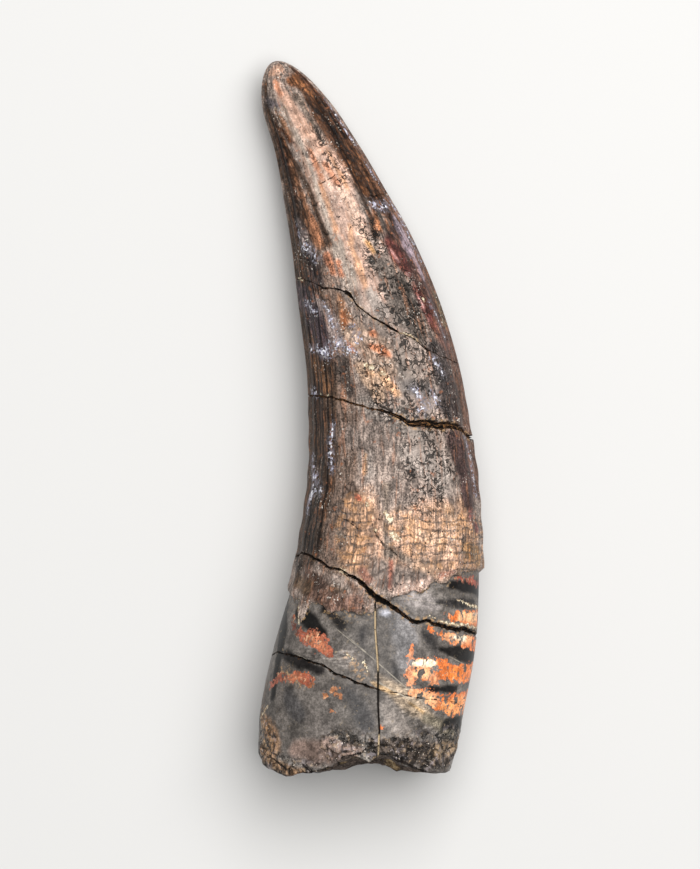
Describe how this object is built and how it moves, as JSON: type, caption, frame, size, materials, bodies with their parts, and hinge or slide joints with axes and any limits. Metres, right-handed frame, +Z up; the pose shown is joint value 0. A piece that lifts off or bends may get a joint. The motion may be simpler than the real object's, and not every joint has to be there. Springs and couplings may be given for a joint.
{
  "type": "fossil suchomimus tooth",
  "caption": "Long curved conical fossil tooth with ridged brown enamel, transverse cracks and a dark broken root, lying on its side on a small flat spot.",
  "frame": {"origin": "on the surface that the tooth lies on, under the middle of its bounding box", "axes": "+Y along the tooth from the broken root to the tip, +X towards the convex edge, +Z up from the surface that it lies on, square to the upper flank"},
  "size_m": [0.0236, 0.075, 0.0164],
  "materials": {
    "fossil_tooth": "mineralised enamel and dentine with a low natural polish: pinkish tan and brown crown, charcoal root with orange patches, white mineral crust in the hollows"
  },
  "bodies": {
    "root": {"tooth": "fossil_tooth"}
  },
  "joints": []
}
